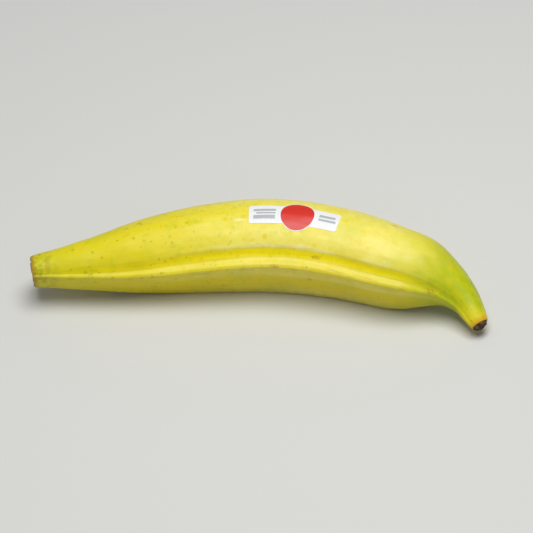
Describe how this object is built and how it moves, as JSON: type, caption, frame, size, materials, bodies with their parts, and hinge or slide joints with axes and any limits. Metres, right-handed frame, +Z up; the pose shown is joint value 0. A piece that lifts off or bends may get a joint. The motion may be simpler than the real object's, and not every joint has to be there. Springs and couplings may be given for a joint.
{
  "type": "plantain",
  "caption": "Whole plantain lying on its side: a bent, ridged yellow-green fruit with a cut stem, a tapering flower end and a plain paper label.",
  "frame": {"origin": "on the surface that the fruit rests on, under the middle of its bounding box", "axes": "+X along the fruit from the cut stem to the flower end, +Y to the outer side of its bend, +Z up"},
  "size_m": [0.2606, 0.08, 0.0495],
  "materials": {
    "peel": "ripening peel, yellow turning green at the flower end, waxy, with brown specks and scuffed ridges",
    "label_paper": "coated paper label, white with a plain coloured oval, no lettering"
  },
  "bodies": {
    "root": {"plantain": "peel", "label": "label_paper"}
  },
  "joints": []
}
